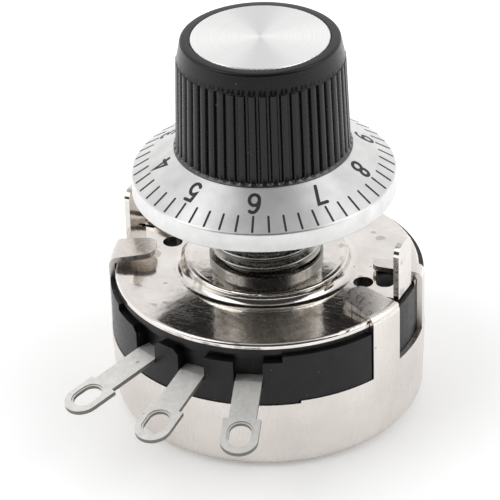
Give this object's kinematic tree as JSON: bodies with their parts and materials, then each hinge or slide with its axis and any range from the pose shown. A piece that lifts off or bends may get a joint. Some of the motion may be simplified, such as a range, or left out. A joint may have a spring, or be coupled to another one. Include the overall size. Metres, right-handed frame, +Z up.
{
  "type": "rotary potentiometer",
  "caption": "Panel-mounting rotary potentiometer in a nickel-plated can, with solder terminals, a ribbed black knob and a conical numbered dial.",
  "frame": {"origin": "centre of the can's flat rear face, on the shaft axis", "axes": "+Z up the shaft towards the knob, -Y towards the solder terminals, X through the two locating lugs"},
  "size_m": [0.0286, 0.0367, 0.0356],
  "materials": {
    "nickel_plate": "bright nickel plate on steel",
    "nickel_brass": "bright nickel plate on brass",
    "phenolic": "matt black moulded phenolic",
    "tinned_copper": "dull tin",
    "knob_black": "satin-gloss black phenolic",
    "spun_aluminium": "bright, fine concentric turning marks",
    "dial_aluminium": "satin with black markings",
    "bare_steel": "turned",
    "brass": "turned",
    "laminate": "brown laminated phenolic",
    "carbon": "matt carbon",
    "silver": "silver plate",
    "bronze": "spring bronze",
    "fibre": "insulating fibre sheet"
  },
  "bodies": {
    "housing": {"rear_cup": "nickel_plate", "front_plate": "nickel_plate", "bushing": "nickel_brass", "phenolic_base": "phenolic", "element_board": "laminate", "resistive_track": "carbon", "track_end_pads": "silver", "collector_ring": "silver", "terminal_left": "tinned_copper", "terminal_centre": "tinned_copper", "terminal_right": "tinned_copper", "terminal_rivets": "tinned_copper", "insulating_disc": "fibre"},
    "rotor": {"shaft": "bare_steel", "thrust_washer": "bare_steel", "retaining_ring": "bare_steel", "rotor_carrier": "laminate", "wiper_spring": "bronze", "wiper_brush": "carbon", "collector_brush": "carbon", "knob_body": "knob_black", "knob_insert": "brass", "set_screw": "bare_steel", "knob_cap_disc": "spun_aluminium", "dial_plate": "dial_aluminium", "dial_backing": "knob_black"}
  },
  "joints": [
    {"name": "shaft_turn", "type": "hinge", "parent": "housing", "child": "rotor", "pos_m": [0, 0, 0.0128], "axis": [0, 0, 1], "range_deg": [-283, 17]}
  ]
}
